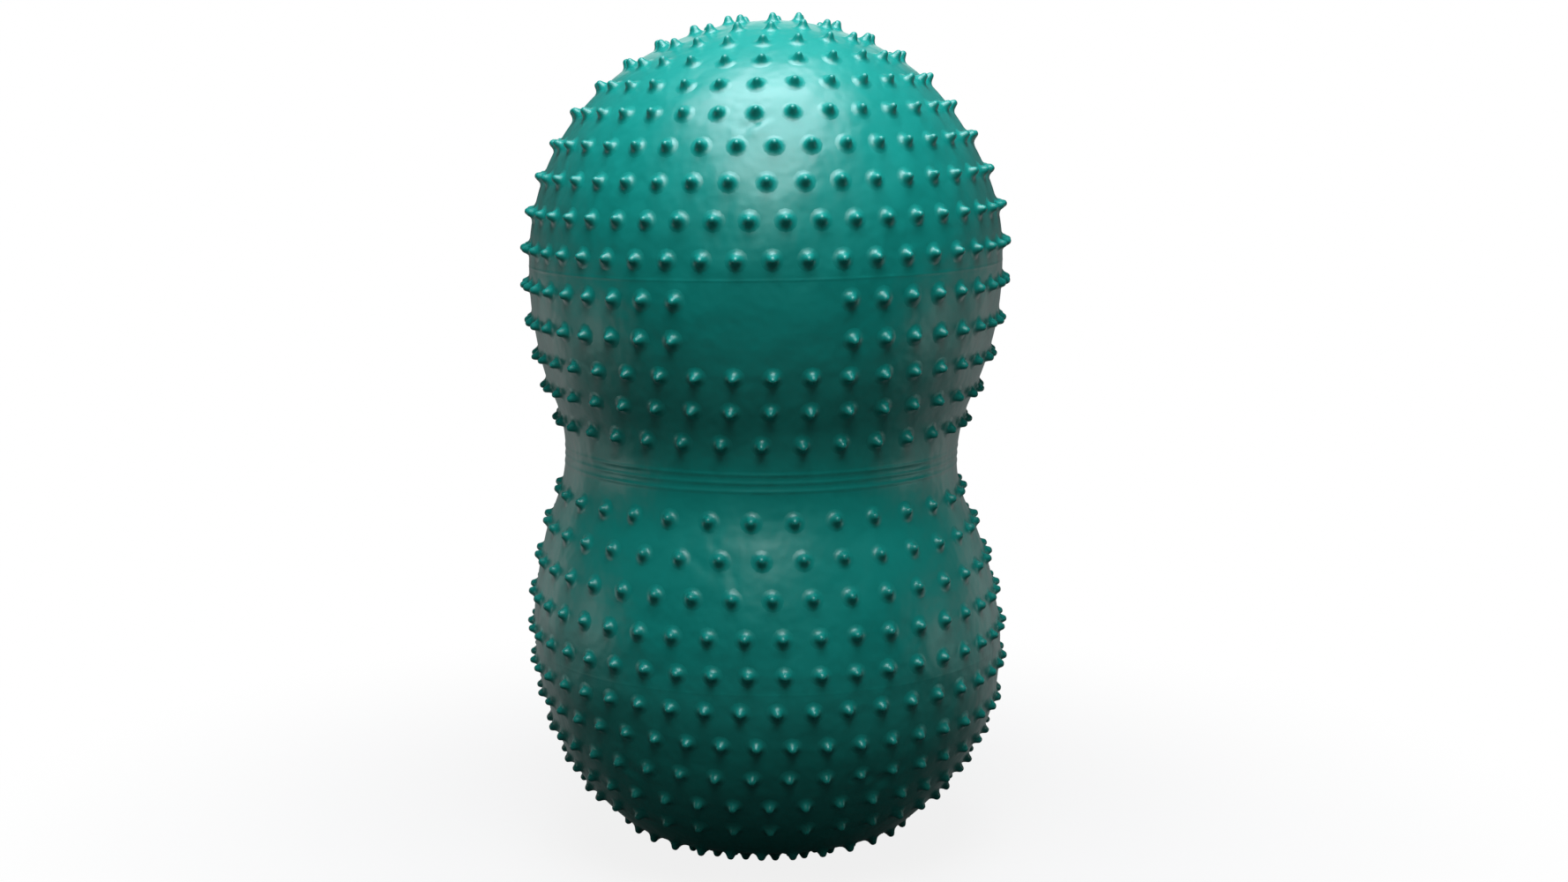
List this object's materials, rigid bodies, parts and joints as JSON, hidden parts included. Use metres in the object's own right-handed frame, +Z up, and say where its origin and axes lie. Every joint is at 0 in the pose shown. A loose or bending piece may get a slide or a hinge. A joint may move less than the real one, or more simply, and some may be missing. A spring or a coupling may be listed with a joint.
{
  "type": "peanut exercise ball",
  "caption": "Inflated peanut-shaped exercise ball with two round lobes, a ridged waist and rows of massage nubs all over, standing on one end.",
  "frame": {"origin": "centre of the resting face at the lower end", "axes": "+Z up along the ball's own axis through both lobes, -Y towards the side with the bare panel, +X to the right seen from there"},
  "size_m": [0.6226, 0.6226, 1.0943],
  "materials": {
    "skin": "satin moulded vinyl",
    "plug": "plain moulded"
  },
  "bodies": {
    "root": {"ball_skin": "skin", "valve_plug": "plug"}
  },
  "joints": []
}
